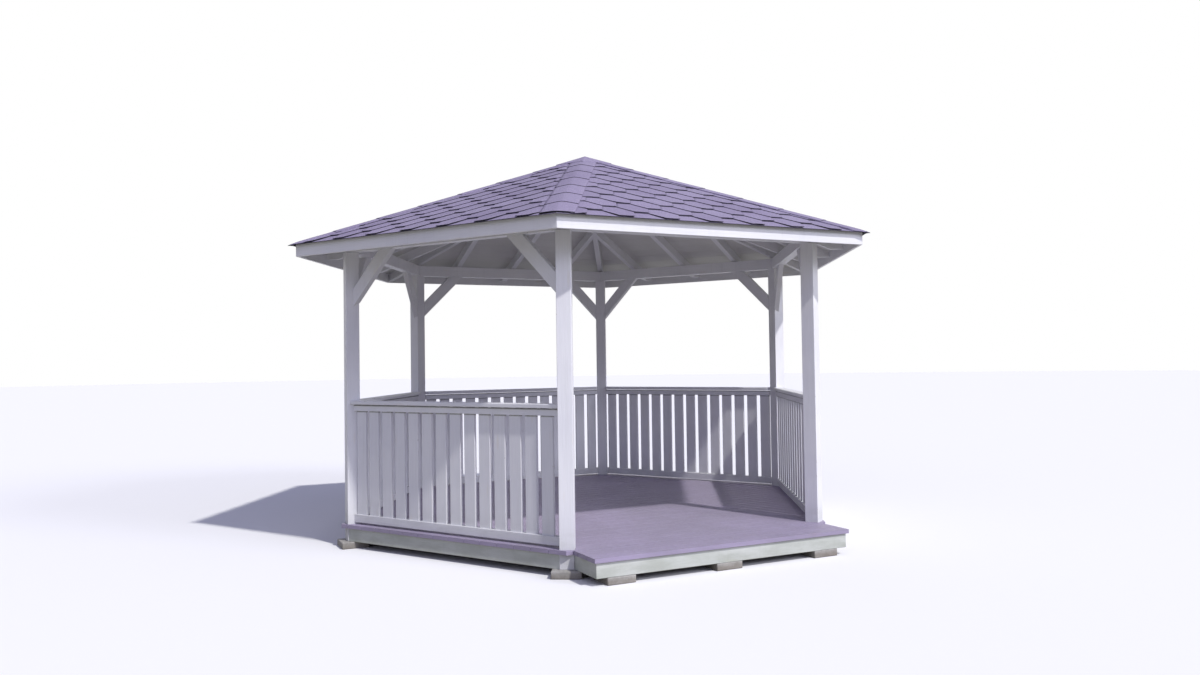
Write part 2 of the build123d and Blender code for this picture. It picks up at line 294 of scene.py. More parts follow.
def painted_timber(name, paint, paint_old, dirt_and_shade, bare, splash_height, wear, relief):
    """Weathered paint on planed timber."""
    made, tree, shader = new_material(name, paint)
    grain = use_group(tree, grain_group, Grain=attribute(tree, "grain", "Vector"))
    weather = use_group(tree, weather_group, Splash_Height=splash_height)
    tone = attribute(tree, "tone")
    fine = noise(tree, attribute(tree, "grain", "Vector"), 55.0, 5.0, 0.65)

    colour = mix(tree, weather["Patches"], paint, paint_old)
    colour = mix(tree, spread(tree, tone, 0.0, 1.0, 0.0, 0.35), colour, paint_old)
    colour = mix(tree, times(tree, grain["Fibres"], 0.07), colour, dirt_and_shade)
    colour = mix(tree, times(tree, grain["Knots"], 0.22), colour, shaded(paint, (0.86, 0.78, 0.62)))
    grime = maths(tree, "ADD", times(tree, weather["Settled"], 0.16), times(tree, weather["Streaks"], 0.07))
    grime = maths(tree, "ADD", grime, times(tree, weather["Splash"], 0.55), clamp=True)
    colour = mix(tree, grime, colour, dirt_and_shade)
    # painted shade: darker where the attribute corner is 1, under the top rail and under the handrail
    corner = times(tree, attribute(tree, "corner"), spread(tree, fine, 0.2, 0.6, 0.55, 0.85))
    colour = mix(tree, corner, colour, shaded(dirt_and_shade, (0.5, 0.5, 0.5)))
    chips = times(tree, attribute(tree, "worn"), spread(tree, fine, 1.0 - wear, 1.04 - wear))
    colour = mix(tree, chips, colour, bare)
    feed(tree, shader.inputs["Base Color"], colour)

    rough = spread(tree, maths(tree, "ADD", fine, grime), 0.3, 1.1, 0.42, 0.72)
    feed(tree, shader.inputs["Roughness"], rough)
    shader.inputs["Specular IOR Level"].default_value = 0.35
    height = maths(tree, "ADD", times(tree, grain["Fibres"], 0.5), times(tree, grain["Bands"], 0.35))
    height = maths(tree, "SUBTRACT", height, times(tree, chips, 0.8))
    height = maths(tree, "ADD", height, times(tree, fine, 0.25))
    bump(tree, shader, height, relief, 0.0012)
    return made


white_paint = painted_timber(
    "white paint", paint=(0.83, 0.83, 0.85), paint_old=(0.76, 0.76, 0.80), dirt_and_shade=(0.30, 0.31, 0.27),
    bare=(0.36, 0.32, 0.27), splash_height=0.42, wear=0.36, relief=0.5,
)
# painted shade: a duller, darker copy of the white paint for the boards under the roof, which lie in its shade
shaded_soffit_paint = painted_timber(
    "shaded soffit paint", paint=(0.68, 0.675, 0.665), paint_old=(0.60, 0.595, 0.58), dirt_and_shade=(0.30, 0.29, 0.26),
    bare=(0.36, 0.32, 0.27), splash_height=0.42, wear=0.36, relief=0.5,
)
rim_paint = painted_timber(
    "rim paint", paint=(0.70, 0.715, 0.70), paint_old=(0.60, 0.625, 0.595), dirt_and_shade=(0.25, 0.275, 0.215),
    bare=(0.36, 0.32, 0.27), splash_height=0.34, wear=0.42, relief=0.6,
)
print("materials:", white_paint.name, shaded_soffit_paint.name, rim_paint.name)

# %% [markdown]
# ## Floor paint and bare timber
#
# The floor is painted a greyed lavender that feet have dulled. The joists below it were never painted.
# Both are the same kind of finish with other colours, so they use the same function.

# %% Floor paint and bare timber materials
floor_paint = painted_timber(
    "floor paint", paint=(0.355, 0.305, 0.44), paint_old=(0.30, 0.262, 0.365), dirt_and_shade=(0.19, 0.175, 0.17),
    bare=(0.33, 0.30, 0.27), splash_height=0.16, wear=0.46, relief=0.8,
)
bare_timber = painted_timber(
    "bare timber", paint=(0.38, 0.31, 0.22), paint_old=(0.27, 0.235, 0.19), dirt_and_shade=(0.12, 0.105, 0.085),
    bare=(0.40, 0.33, 0.24), splash_height=0.3, wear=0.3, relief=1.0,
)
print("materials:", floor_paint.name, "and", bare_timber.name)

# %% [markdown]
# ## Roof felt
#
# A felt shingle is a sheet of bitumen pressed full of crushed stone. From a few metres it is a soft
# purple grey that varies from tab to tab; close by, every grain has its own colour and catches the light.
# Voronoi cells a millimetre or two across give the grains, and slow noise gives the faded areas.

# %% Granule group and felt material
tree, given, given_out = start_group(
    "granules", [("Size", "Float")], [("Colour", "Float"), ("Height", "Float")],
)
scale = maths(tree, "DIVIDE", 1.0, given["Size"])
cells = add(tree, "ShaderNodeTexVoronoi", {"Vector": position(tree), "Scale": scale})
tint = add(tree, "ShaderNodeSeparateColor", {"Color": cells.outputs["Color"]}).outputs["Red"]
feed(tree, given_out.inputs["Colour"], tint)
feed(tree, given_out.inputs["Height"], spread(tree, cells.outputs["Distance"], 0.7, 0.1))
granule_group = tree


def lap_shade(tree):
    """1 along the line on a tab where the edges of the next courses lie, and fading from there."""
    course, second_course = 0.132, 0.262      # up the tab to the feet of the next two courses
    half_gap, slant = 0.112, 0.467            # half the gap between two feet, and how fast it narrows upwards
    lean = 0.9                                # a distance measured square to the slant, not along the course
    fade = 0.014
    parts = add(tree, "ShaderNodeSeparateXYZ", {"Vector": attribute(tree, "tab", "Vector")}).outputs
    to_foot = maths(tree, "SUBTRACT", second_course, parts["Y"])
    narrowing = times(tree, maths(tree, "SUBTRACT", parts["Y"], course), slant)
    to_slant = maths(tree, "SUBTRACT", half_gap, maths(tree, "ADD", maths(tree, "ABSOLUTE", parts["X"]), narrowing))
    covered = maths(tree, "GREATER_THAN", parts["Y"], course + 0.002)
    near = maths(tree, "MINIMUM", to_foot, times(tree, to_slant, lean))
    return times(tree, covered, spread(tree, near, fade, 0.0))


def felt_material(name, light, dark, faded):
    """Crushed stone on bitumen."""
    made, tree, shader = new_material(name, light)
    grains = use_group(tree, granule_group, Size=0.0022)
    weather = use_group(tree, weather_group, Splash_Height=0.01)
    colour = mix(tree, spread(tree, grains["Colour"], 0.1, 0.95), dark, light)
    colour = mix(tree, spread(tree, attribute(tree, "tone"), 0.0, 1.0, 0.0, 0.5), colour, dark)
    blotches = noise(tree, position(tree), 85.0, 3.0, 0.6)
    colour = mix(tree, spread(tree, blotches, 0.4, 0.7, 0.0, 0.45), colour, dark)
    colour = mix(tree, times(tree, weather["Patches"], 0.35), colour, faded)
    colour = mix(tree, times(tree, lap_shade(tree), 0.4), colour, (0.05, 0.045, 0.07))
    feed(tree, shader.inputs["Base Color"], colour)
    feed(tree, shader.inputs["Roughness"], spread(tree, grains["Colour"], 0.0, 1.0, 0.7, 0.95))
    shader.inputs["Specular IOR Level"].default_value = 0.12
    bump(tree, shader, grains["Height"], 0.7, 0.0012)
    return made


roof_felt = felt_material(
    "roof felt", light=(0.39, 0.342, 0.49), dark=(0.20, 0.172, 0.262), faded=(0.33, 0.30, 0.405),
)
cut_felt = felt_material(
    "cut edge of the felt", light=(0.035, 0.032, 0.045), dark=(0.015, 0.014, 0.02), faded=(0.05, 0.047, 0.06),
)
print("materials:", roof_felt.name, "and", cut_felt.name)

# %% [markdown]
# ## Concrete
#
# The pads under the floor are cast concrete: grey, pitted with small air holes, and stained by the soil
# that splashes up. Two scales of noise and a few Voronoi pits are enough for a piece that is mostly hidden.

# %% Concrete material
concrete, tree, shader = new_material("concrete", (0.42, 0.41, 0.39))
weather = use_group(tree, weather_group, Splash_Height=0.08)
coarse = noise(tree, position(tree), 24.0, 6.0, 0.7)
pits = add(tree, "ShaderNodeTexVoronoi", {"Vector": position(tree), "Scale": 130.0}).outputs["Distance"]
pits = spread(tree, pits, 0.24, 0.1)
colour = mix(tree, spread(tree, coarse, 0.3, 0.7), (0.33, 0.325, 0.31), (0.48, 0.47, 0.45))
# painted shade: the pits are darkened, as if shadowed inside
colour = mix(tree, times(tree, pits, 0.6), colour, (0.16, 0.155, 0.145))
colour = mix(tree, times(tree, weather["Splash"], 0.7), colour, (0.15, 0.12, 0.09))
feed(tree, shader.inputs["Base Color"], colour)
feed(tree, shader.inputs["Roughness"], spread(tree, coarse, 0.2, 0.8, 0.75, 0.95))
bump(tree, shader, maths(tree, "SUBTRACT", coarse, times(tree, pits, 0.5)), 0.6, 0.003)
print("material:", concrete.name)

# %% [markdown]
# ## Light and ground
#
# The photograph shows a high sun from the front right, whose shadows are fairly crisp, and the glow of an
# open sky on the same side, which reaches in under the eaves. Less light comes from the left and the back.
# Two sun lamps make the first two, one narrow and one lower and wider, and the sky of the world is dimmer
# towards the back. The ground is plain and nearly white to the eye, but throws back only as much light as
# darker ground would, so that the underside of the roof keeps its shade: Light Path tells the rays apart.

# %% Sun, sky and ground
OPEN_HEADING = 262            # where most of the light of the sky comes from
GROUND_RADIUS = 80.0


def add_sun(name, heading, height, energy, angle, colour):
    """A sun lamp; heading in degrees anticlockwise from +X, height in degrees above the ground."""
    data = bpy.data.lights.new(name, "SUN")
    data.energy = energy
    data.angle = math.radians(angle)
    data.color = colour
    lamp = bpy.data.objects.new(name, data)
    lamp.rotation_euler = (math.radians(90 - height), 0.0, math.radians(heading + 90))
    bpy.context.scene.collection.objects.link(lamp)
    print(name, "from", heading, "degrees,", height, "degrees high")


add_sun("sun", heading=287.0, height=49.6, energy=2.68, angle=2.0, colour=(1.0, 0.985, 0.96))
add_sun("open sky", heading=303.0, height=24.0, energy=1.05, angle=16.0, colour=(0.90, 0.91, 1.0))


def seen_directly(tree):
    """1 for rays from the camera, and for those that a gloss or a glass sends on."""
    path = add(tree, "ShaderNodeLightPath")
    either = maths(tree, "MAXIMUM", path.outputs["Is Camera Ray"], path.outputs["Is Glossy Ray"])
    return maths(tree, "MAXIMUM", either, path.outputs["Is Transmission Ray"])


world = bpy.data.worlds.new("sky")
world.use_nodes = True
bpy.context.scene.world = world
tree = world.node_tree
sky = tree.nodes["Background"]
direction = add(tree, "ShaderNodeTexCoord").outputs["Generated"]
openness = add(tree, "ShaderNodeVectorMath", {0: direction, 1: level(OPEN_HEADING)}, operation="DOT_PRODUCT")
openness = openness.outputs["Value"]
height = add(tree, "ShaderNodeSeparateXYZ", {"Vector": direction}).outputs["Z"]
open_side = mix(tree, spread(tree, height, 0.05, 0.4), (0.50, 0.505, 0.56), (0.64, 0.65, 1.03))
colour = mix(tree, spread(tree, openness, -0.4, 0.8), (0.17, 0.175, 0.18), open_side)
colour = mix(tree, spread(tree, height, 0.5, 0.95), colour, (0.28, 0.29, 0.45))
feed(tree, sky.inputs["Color"], mix(tree, seen_directly(tree), colour, (1.0, 1.0, 1.0)))
sky.inputs["Strength"].default_value = 1.0

ground_material, tree, shader = new_material("ground", (0.9, 0.9, 0.9))
feed(tree, shader.inputs["Base Color"], mix(tree, seen_directly(tree), (0.315, 0.305, 0.26), (0.86, 0.86, 0.86)))
shader.inputs["Roughness"].default_value = 0.95
shader.inputs["Specular IOR Level"].default_value = 0.0
ground_mesh = bpy.data.meshes.new("ground")
shape = bmesh.new()
bmesh.ops.create_circle(shape, cap_ends=True, segments=96, radius=GROUND_RADIUS)
shape.to_mesh(ground_mesh)
shape.free()
ground_mesh.materials.append(ground_material)
ground = bpy.data.objects.new("ground", ground_mesh)
bpy.context.scene.collection.objects.link(ground)
print("world:", world.name, "ground:", ground.name)

# %% [markdown]
# ## Dressing timber
#
# Sawn and planed timber never has a perfectly sharp edge. A bevel of two millimetres catches a thin line
# of light along every arris, and that line is what makes a white board look like a board. The solids in
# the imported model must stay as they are, so each piece here is a copy that takes the place of its node:
# its flat faces are joined up again, its outward edges are bevelled, and every board in it gets its grain
# direction, which is the direction of its longest edge.

# %% Timber helpers
chance = random.Random(12)


def new_piece(name, shape, materials, stands_for):
    """Turn a bmesh into a piece that rides on the gazebo, and stands for CAD nodes if there are any."""
    mesh = bpy.data.meshes.new(name)
    shape.normal_update()
    shape.to_mesh(mesh)
    shape.free()
    for material in materials:
        mesh.materials.append(material)
    made = bpy.data.objects.new(name, mesh)
    bpy.context.scene.collection.objects.link(made)
    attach(made, "root")
    if stands_for:
        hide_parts(*stands_for)
    print(name, "-", len(mesh.polygons), "faces")


def islands(shape):
    """The groups of connected vertices in a bmesh, each one board."""
    left = set(shape.verts)
    while left:
        first = min(left, key=lambda vert: vert.index)
        group, todo = [], [first]
        left.discard(first)
        while todo:
            vert = todo.pop()
            group.append(vert)
            for edge in vert.link_edges:
                other = edge.other_vert(vert)
                if other in left:
                    left.discard(other)
                    todo.append(other)
        yield group


def mark_grain(shape):
    """Write the attributes grain and tone, board by board."""
    grain = shape.verts.layers.float_vector.new("grain")
    tone = shape.verts.layers.float.new("tone")
    shape.verts.index_update()
    for group in islands(shape):
        edges = {edge for vert in group for edge in vert.link_edges}
        longest = max(edges, key=lambda edge: (round(edge.calc_length(), 5), -edge.verts[0].index))
        along = (longest.verts[1].co - longest.verts[0].co).normalized()
        side = along.cross(UP)
        side = side.normalized() if side.length > 0.05 else Vector((1.0, 0.0, 0.0))
        up = along.cross(side)
        shift = Vector((chance.uniform(0, 40), chance.uniform(0, 9), chance.uniform(0, 9)))
        own = chance.random()
        for vert in group:
            vert[grain] = Vector((vert.co.dot(along), vert.co.dot(side), vert.co.dot(up))) + shift
            vert[tone] = own


def soften(shape, width):
    """Bevel the outward edges and mark the new faces as worn."""
    sharp = math.radians(20)
    worn = shape.faces.layers.float.new("worn")
    shape.normal_update()
    edges = [edge for edge in shape.edges
             if edge.is_manifold and edge.is_convex and edge.calc_face_angle(0.0) > sharp]
    new = bmesh.ops.bevel(shape, geom=edges, offset=width, offset_type="OFFSET", segments=2,
                          profile=0.5, affect="EDGES", clamp_overlap=True)
    for face in new["faces"]:
        face[worn] = 1.0
        face.smooth = True


def copy_of(names):
    """The solids of CAD nodes in one bmesh, with their flat faces whole again."""
    shape = bmesh.new()
    for name in names:
        shape.from_mesh(nodes[name].data)
    bmesh.ops.remove_doubles(shape, verts=shape.verts, dist=0.00002)
    bmesh.ops.dissolve_limit(shape, angle_limit=math.radians(0.6), verts=shape.verts, edges=shape.edges)
    return shape


def dress(name, names, material, bevel):
    """A copy of CAD nodes with soft edges and grain, in their place."""
    shape = copy_of(names)
    soften(shape, bevel)
    mark_grain(shape)
    new_piece(name, shape, [material], names)


print("timber helpers ready")

# %% [markdown]
# ## The frame
#
# Posts, beams, braces, rafters and the boards at the eaves are single timbers, so dressing them is all
# they need. Planed posts and beams get three millimetres off their edges and the thinner boards two. The
# joists and their rim are rougher, and their edges are knocked about a little more.

# %% Posts, beams, braces, rafters, fascia and joists
for place in ("right", "back_right", "back_left", "left", "front_left", "front_right"):
    dress(f"painted_post_{place}", [f"post_{place}"], white_paint, 0.003)
for side in SIDE_HEADINGS:
    dress(f"painted_beam_{side}", [f"ring_beam_{side}"], white_paint, 0.003)
    dress(f"painted_fascia_{side}", [f"fascia_{side}"], white_paint, 0.0018)
dress("painted_braces", ["knee_braces"], white_paint, 0.0025)
dress("painted_rafters", ["common_rafters", "hip_rafters"], white_paint, 0.002)
dress("painted_king_block", ["king_block"], white_paint, 0.003)
dress("painted_handrails", ["handrails"], white_paint, 0.004)
dress("painted_rim", ["rim_joists"], rim_paint, 0.003)
dress("joists", ["floor_joists"], bare_timber, 0.003)
dress("pads", ["foundation_pads"], concrete, 0.006)

# %% [markdown]
# ## The railings
#
# Each of the five railings is a bottom rail, a top rail and fourteen upright boards that stand in grooves
# in both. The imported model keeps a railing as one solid. Here its boards are made one by one, because a
# carpenter never sets two boards exactly alike: they differ by a millimetre in place and width and lean by
# a hair, and each has its own grain. One railing is drawn facing +Y and turned to its side. The boards
# are centred in their bay, apart from the front left ones, which were set out from the left post.

# %% Railings
POST_HALF = 0.049             # half the width of a post
RAIL_HALF = 0.024             # half the thickness of both rails
BOTTOM_RAIL = 0.058           # depth of the bottom rail
TOP_RAIL = 0.050              # depth of the top rail
SCRIBE_GAP = 0.0004           # between the end of a rail and its post
HANDRAIL_JOINT = 0.005        # the rail isn't planed true, and a dark line shows under the handrail
BOARDS_PER_BAY = 14
BOARD_PITCH = 0.134
BOARD_SHIFT = {"front_left": 0.0169}
BOARD_HALF = 0.0475           # half the width of a board
BOARD_THICK = 0.0105          # half its thickness
HOUSED = 0.008                # depth of a board's end in the groove of its rail
PAINTED_SHADE_REACH = 0.012            # how far below a rail the painted shade reaches
rail_low, rail_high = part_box("railing_back")


def prism(shape, outline, levels, corner):
    """A closed prism over a convex outline in plan, anticlockwise, from (height, painted shade) levels."""
    rings = []
    for z, painted_shade in levels:
        rings.append([shape.verts.new((x, y, z)) for x, y in outline])
        for vert in rings[-1]:
            vert[corner] = painted_shade
    shape.faces.new(reversed(rings[0]))
    shape.faces.new(rings[-1])
    for low, high in zip(rings, rings[1:]):
        for i in range(len(outline)):
            j = (i + 1) % len(outline)
            shape.faces.new((low[i], low[j], high[j], high[i]))
    return [vert for ring in rings for vert in ring]


def scribed_rail(shape, levels, corner):
    """A rail between two posts, its ends cut to their side faces."""
    def reach(out):
        return 1.0 - (POST_HALF - out / 2) / COS30 - SCRIBE_GAP

    inner, outer = -RAIL_HALF, RAIL_HALF
    prism(shape, [(-reach(inner), POST_LINE + inner), (reach(inner), POST_LINE + inner),
                  (reach(outer), POST_LINE + outer), (-reach(outer), POST_LINE + outer)], levels, corner)


def upright_board(shape, x, z0, z1, corner):
    """One board of a railing, a little off in width and place, and leaning a little."""
    half = BOARD_HALF + chance.uniform(-0.0006, 0.0006)
    middle = Vector((x + chance.uniform(-0.0012, 0.0012), POST_LINE, (z0 + z1) / 2))
    top = z1 - middle.z
    shows = top - HOUSED      # above this the board is in its groove
    # painted shade at the top of the board, just under the top rail
    levels = [(z0 - middle.z, 0.0), (shows - PAINTED_SHADE_REACH, 0.0), (shows - PAINTED_SHADE_REACH / 3, 1.0), (top, 1.0)]
    outline = [(-half, -BOARD_THICK), (half, -BOARD_THICK), (half, BOARD_THICK), (-half, BOARD_THICK)]
    new = prism(shape, outline, levels, corner)
    lean = Matrix.Rotation(math.radians(chance.uniform(-0.09, 0.09)), 4, "Y")
    bmesh.ops.transform(shape, matrix=Matrix.Translation(middle) @ lean, verts=new)


for side in RAILED:
    shape = bmesh.new()
    corner = shape.verts.layers.float.new("corner")
    top = rail_high.z - HANDRAIL_JOINT
    scribed_rail(shape, [(rail_low.z, 0.0), (rail_low.z + BOTTOM_RAIL, 0.0)], corner)
    # painted shade at the top of the top rail, just under the handrail
    painted_shade_top = [(top - 0.010, 0.0), (top - 0.003, 1.0), (top, 1.0)]
    scribed_rail(shape, [(rail_high.z - TOP_RAIL, 0.0), *painted_shade_top], corner)
    for number in range(BOARDS_PER_BAY):
        x = BOARD_SHIFT.get(side, 0.0) + (number - (BOARDS_PER_BAY - 1) / 2) * BOARD_PITCH
        upright_board(shape, x, rail_low.z + BOTTOM_RAIL - HOUSED, rail_high.z - TOP_RAIL + HOUSED, corner)
    soften(shape, 0.0022)
    mark_grain(shape)
    bmesh.ops.transform(shape, matrix=turned_to(side), verts=shape.verts)
    new_piece(f"painted_railing_{side}", shape, [white_paint], [f"railing_{side}"])
print("railings:", len(RAILED), "with", BOARDS_PER_BAY, "boards each")

# %% [markdown]
# ## Floor boards and roof boards
#
# The floor and the six slopes under the shingles are boarded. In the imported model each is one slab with
# all its corners cut to fit, so the easiest way to true boards is to saw that slab: two planes cut out
# each board, the cuts are closed, and every board is bevelled, which draws the joints. The floor boards
# run along X with an open gap, and so do those of the landing, counted from its front edge. The roof
# boards lie edge to edge, parallel to the eave.

# %% Sawing a slab into boards
def bisect(shape, point, normal, **sides):
    """Split a bmesh along a plane, where sides says what is dropped; returns what lies in the cut."""
    everything = shape.verts[:] + shape.edges[:] + shape.faces[:]
    cut = bmesh.ops.bisect_plane(shape, geom=everything, dist=1e-6, plane_co=point, plane_no=normal, **sides)
    return cut["geom_cut"]


def cut_and_close(shape, point, normal, **sides):
    """Split a bmesh, drop a side and close the cut; returns the faces that close it."""
    cut = bisect(shape, point, normal, **sides)
    rim = [part for part in cut if isinstance(part, bmesh.types.BMEdge) and part.is_boundary]
    return bmesh.ops.edgeloop_fill(shape, edges=rim)["faces"]


def board_spans(first, last, pitch, gap, start=0.0):
    """Where each board begins and ends, along the direction square to the joints."""
    number = math.floor((first - start) / pitch)
    while start + number * pitch < last:
        yield start + number * pitch + gap / 2, start + (number + 1) * pitch - gap / 2
        number += 1


def saw(slab, across, pitch, gap, start=0.0):
    """Cut a slab into boards by planes square to a direction; returns a bmesh of all boards."""
    reach = [vert.co.dot(across) for vert in slab.verts]
    boards = bmesh.new()
    scrap = bpy.data.meshes.new("board being cut")
    for low, high in board_spans(min(reach), max(reach), pitch, gap, start):
        board = slab.copy()
        for edge, keep_below in ((low, False), (high, True)):
            cut_and_close(board, across * edge, across, clear_outer=keep_below, clear_inner=not keep_below)
        if board.faces:
            board.to_mesh(scrap)
            boards.from_mesh(scrap)
        board.free()
    bpy.data.meshes.remove(scrap)
    bmesh.ops.recalc_face_normals(boards, faces=boards.faces)
    return boards


def without(slab, unwanted):
    """A copy of a slab without the vertices that a test picks out."""
    rest = slab.copy()
    bmesh.ops.delete(rest, geom=[vert for vert in rest.verts if unwanted(vert.co)], context="VERTS")
    return rest


FLOOR_PITCH, FLOOR_GAP = 0.125, 0.005
BETWEEN = -POST_LINE - 0.0775     # the middle of the gap between the floor and the landing
floor_low, floor_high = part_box("deck_floor")
landing_start = floor_low.y - FLOOR_GAP / 2
slab = copy_of(["deck_floor"])
across = Vector((0.0, 1.0, 0.0))
floor = saw(without(slab, lambda at: at.y < BETWEEN), across, FLOOR_PITCH, FLOOR_GAP, BETWEEN)
landing = saw(without(slab, lambda at: at.y > BETWEEN), across, FLOOR_PITCH, FLOOR_GAP, landing_start)
slab.free()
both = bpy.data.meshes.new("floor and landing")
landing.to_mesh(both)
floor.from_mesh(both)
landing.free()
bpy.data.meshes.remove(both)
soften(floor, 0.0025)
mark_grain(floor)
new_piece("floor_boards", floor, [floor_paint], ["deck_floor"])

PITCH = math.radians(22.0)        # of the roof
ROOF_BOARD, ROOF_JOINT = 0.118, 0.0006
for side, heading in SIDE_HEADINGS.items():
    slab = copy_of([f"roof_boards_{side}"])
    up_slope = level(heading) * -math.cos(PITCH) + UP * math.sin(PITCH)
    shape = saw(slab, up_slope, ROOF_BOARD, ROOF_JOINT)
    slab.free()
    soften(shape, 0.0016)
    mark_grain(shape)
    new_piece(f"roof_boarding_{side}", shape, [shaded_soffit_paint], [f"roof_boards_{side}"])

# %% [markdown]
# ## Screws
#
# Two screws hold each floor board to each joist, and two hold the fascia to each rafter. They were painted
# over with the wood, so they show only close by, as small round heads with a dimple. One head is drawn
# once and then set down wherever a board crosses what carries it.

# %% Screws
head_mesh = bpy.data.meshes.new("screw head")
shape = bmesh.new()
bmesh.ops.create_cone(shape, cap_ends=True, segments=10, radius1=0.0045, radius2=0.0038, depth=0.0012)
top = max(shape.faces, key=lambda face: face.calc_center_median().z)
bmesh.ops.inset_individual(shape, faces=[top], thickness=0.0019, depth=-0.0009)
shape.to_mesh(head_mesh)
shape.free()


def set_screws(name, places, material):
    """Screw heads at (point, direction) places, almost sunk in the surface."""
    shape = bmesh.new()
    for point, direction in places:
        before = len(shape.verts)
        shape.from_mesh(head_mesh)
        shape.verts.ensure_lookup_table()
        turn = UP.rotation_difference(direction).to_matrix().to_4x4()
        bmesh.ops.transform(shape, matrix=Matrix.Translation(point) @ turn, verts=shape.verts[before:])
    new_piece(name, shape, [material], [])


JOISTS = [step * 0.4 for step in range(-4, 5)]
SCREW_INSET = 0.022           # from the edge of a floor board
FASCIA_FACE = POST_LINE + 0.352   # from the middle of the roof
FASCIA_SCREWS = [(x, z) for x in (-1.17, -0.577, 0.0, 0.577, 1.17) for z in (0.024, 0.070)]


def screwed_half(y):
    """How far from its middle the board at y still lies on joists."""
    on_landing = 0.9
    return on_landing if y < BETWEEN else (POST_LINE + 0.045) / COS30 - abs(y) * TAN30


def nearly(first, second):
    """The place that was meant for a screw, missed by a few millimetres."""
    return first + chance.uniform(-0.004, 0.004), second + chance.uniform(-0.003, 0.003)


places = []
for first, last, start in ((BETWEEN, floor_high.y, BETWEEN), (floor_low.y, BETWEEN, landing_start)):
    for low, high in board_spans(first, last, FLOOR_PITCH, FLOOR_GAP, start):
        for y in (low + SCREW_INSET, min(high, last - 0.003) - SCREW_INSET):
            for x in JOISTS:
                if abs(x) < screwed_half(y):
                    places.append((Vector((*nearly(x, y), floor_high.z)), UP))
set_screws("floor_screws", places, floor_paint)

places = []
fascia_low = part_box("fascia_back")[0].z
for heading in SIDE_HEADINGS.values():
    out = level(heading)
    along = Vector((-out.y, out.x, 0.0))
    for x, z in FASCIA_SCREWS:
        x, z = nearly(x, z)
        places.append((out * FASCIA_FACE + along * x + UP * (fascia_low + z), out))
set_screws("fascia_screws", places, white_paint)

# %% [markdown]
# ## Shingles
#
# The covering is felt shingles with hexagonal tabs: every strip ends in tabs that narrow towards their
# lower edge, and each course is moved sideways by half a tab, so the roof looks like a honeycomb. One tab
# is one thin plate here, with its own lift and its own shade of stone, and it lies on the plates of the
# course below it as real felt does. A plain texture wouldn't give the dark cut edges that draw the
# pattern. Under the caps of the hips the sheets are pressed flat, or they would poke through. The attribute
# tab holds the place of a point on its own tab, and the felt uses it to darken the line just under the
# edges of the next course.

# %% Shingle plates
TAB_PITCH = 0.3333            # from tab to tab along a course
TAB_FOOT = 0.105              # width of a tab at its lower edge
TAB_SLANT = (TAB_PITCH - 2 * TAB_FOOT) / 2
COURSE = 0.132                # exposed height of a course
FELT = 0.0036                 # thickness of one sheet
CAP_HALF = 0.110              # half width in plan of the caps over the hips
PRESSED = 0.6                 # share of their height that the sheets keep under the caps
PRESS_FADE = 0.045            # from there outwards they rise to their full height
BED = 0.0018                  # under the lowest sheet, for nails and rough boards
LAP_RISE, LAP_RUN = 0.0094, 0.33      # how much a sheet rises to its foot, and over what length
CURL_RUN = 0.09               # the lowest part of a tab, which may curl
PLAIN = 0.06                  # a height on a tab where nothing shades it
HIP_GAP = 0.004               # from the sheets of a slope to the plane of the hip
EAVE = FASCIA_FACE + 0.030    # the felt runs past the fascia
roof_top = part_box("roof_boards_back")[1].z        # the point where the six planes of the boards meet
TAB_PHASE = {
    "front": 0.100, "front_left": 0.130, "front_right": 0.035, "back_right": 0.19, "back": 0.07, "back_left": 0.24,
}


def on_slope(along, up, lift):
    """A point on the slope that faces +Y: along the eave, up the slope, above the boards."""
    y = EAVE - up * math.cos(PITCH) + lift * math.sin(PITCH)
    z = roof_top - EAVE * math.tan(PITCH) + up * math.sin(PITCH) + lift * math.cos(PITCH)
    return Vector((-along, y, z))


def felt_layers(shape):
    """The attributes that the felt reads: the place on the tab, and the shade of its own."""
    return shape.verts.layers.float_vector.new("tab"), shape.verts.layers.float.new("tone")


def plate(shape, rows, layers, own):
    """A thin closed plate from rows of (across, up) points, each with its height above the boards."""
    tab, tone = layers
    grid = []
    for row in rows:
        top, under = [], []
        for place, local, lift in row:
            for store, sink in ((top, 0.0), (under, FELT)):
                vert = shape.verts.new(on_slope(place[0], place[1], lift - sink))
                vert[tab] = Vector((local[0], local[1], own))
                vert[tone] = own
                store.append(vert)
        grid.append((top, under))
    for (top0, under0), (top1, under1) in zip(grid, grid[1:]):
        for i in range(len(top0) - 1):
            shape.faces.new((top0[i], top1[i], top1[i + 1], top0[i + 1])).material_index = 0
            shape.faces.new((under0[i], under0[i + 1], under1[i + 1], under1[i])).material_index = 1
        for i in (0, -1):
            side = (top0[i], under0[i], under1[i], top1[i])
            shape.faces.new(side if i == 0 else tuple(reversed(side))).material_index = 1
    for (top, under), flip in ((grid[0], False), (grid[-1], True)):
        for i in range(len(top) - 1):
            side = (top[i], top[i + 1], under[i + 1], under[i])
            shape.faces.new(tuple(reversed(side)) if flip else side).material_index = 1


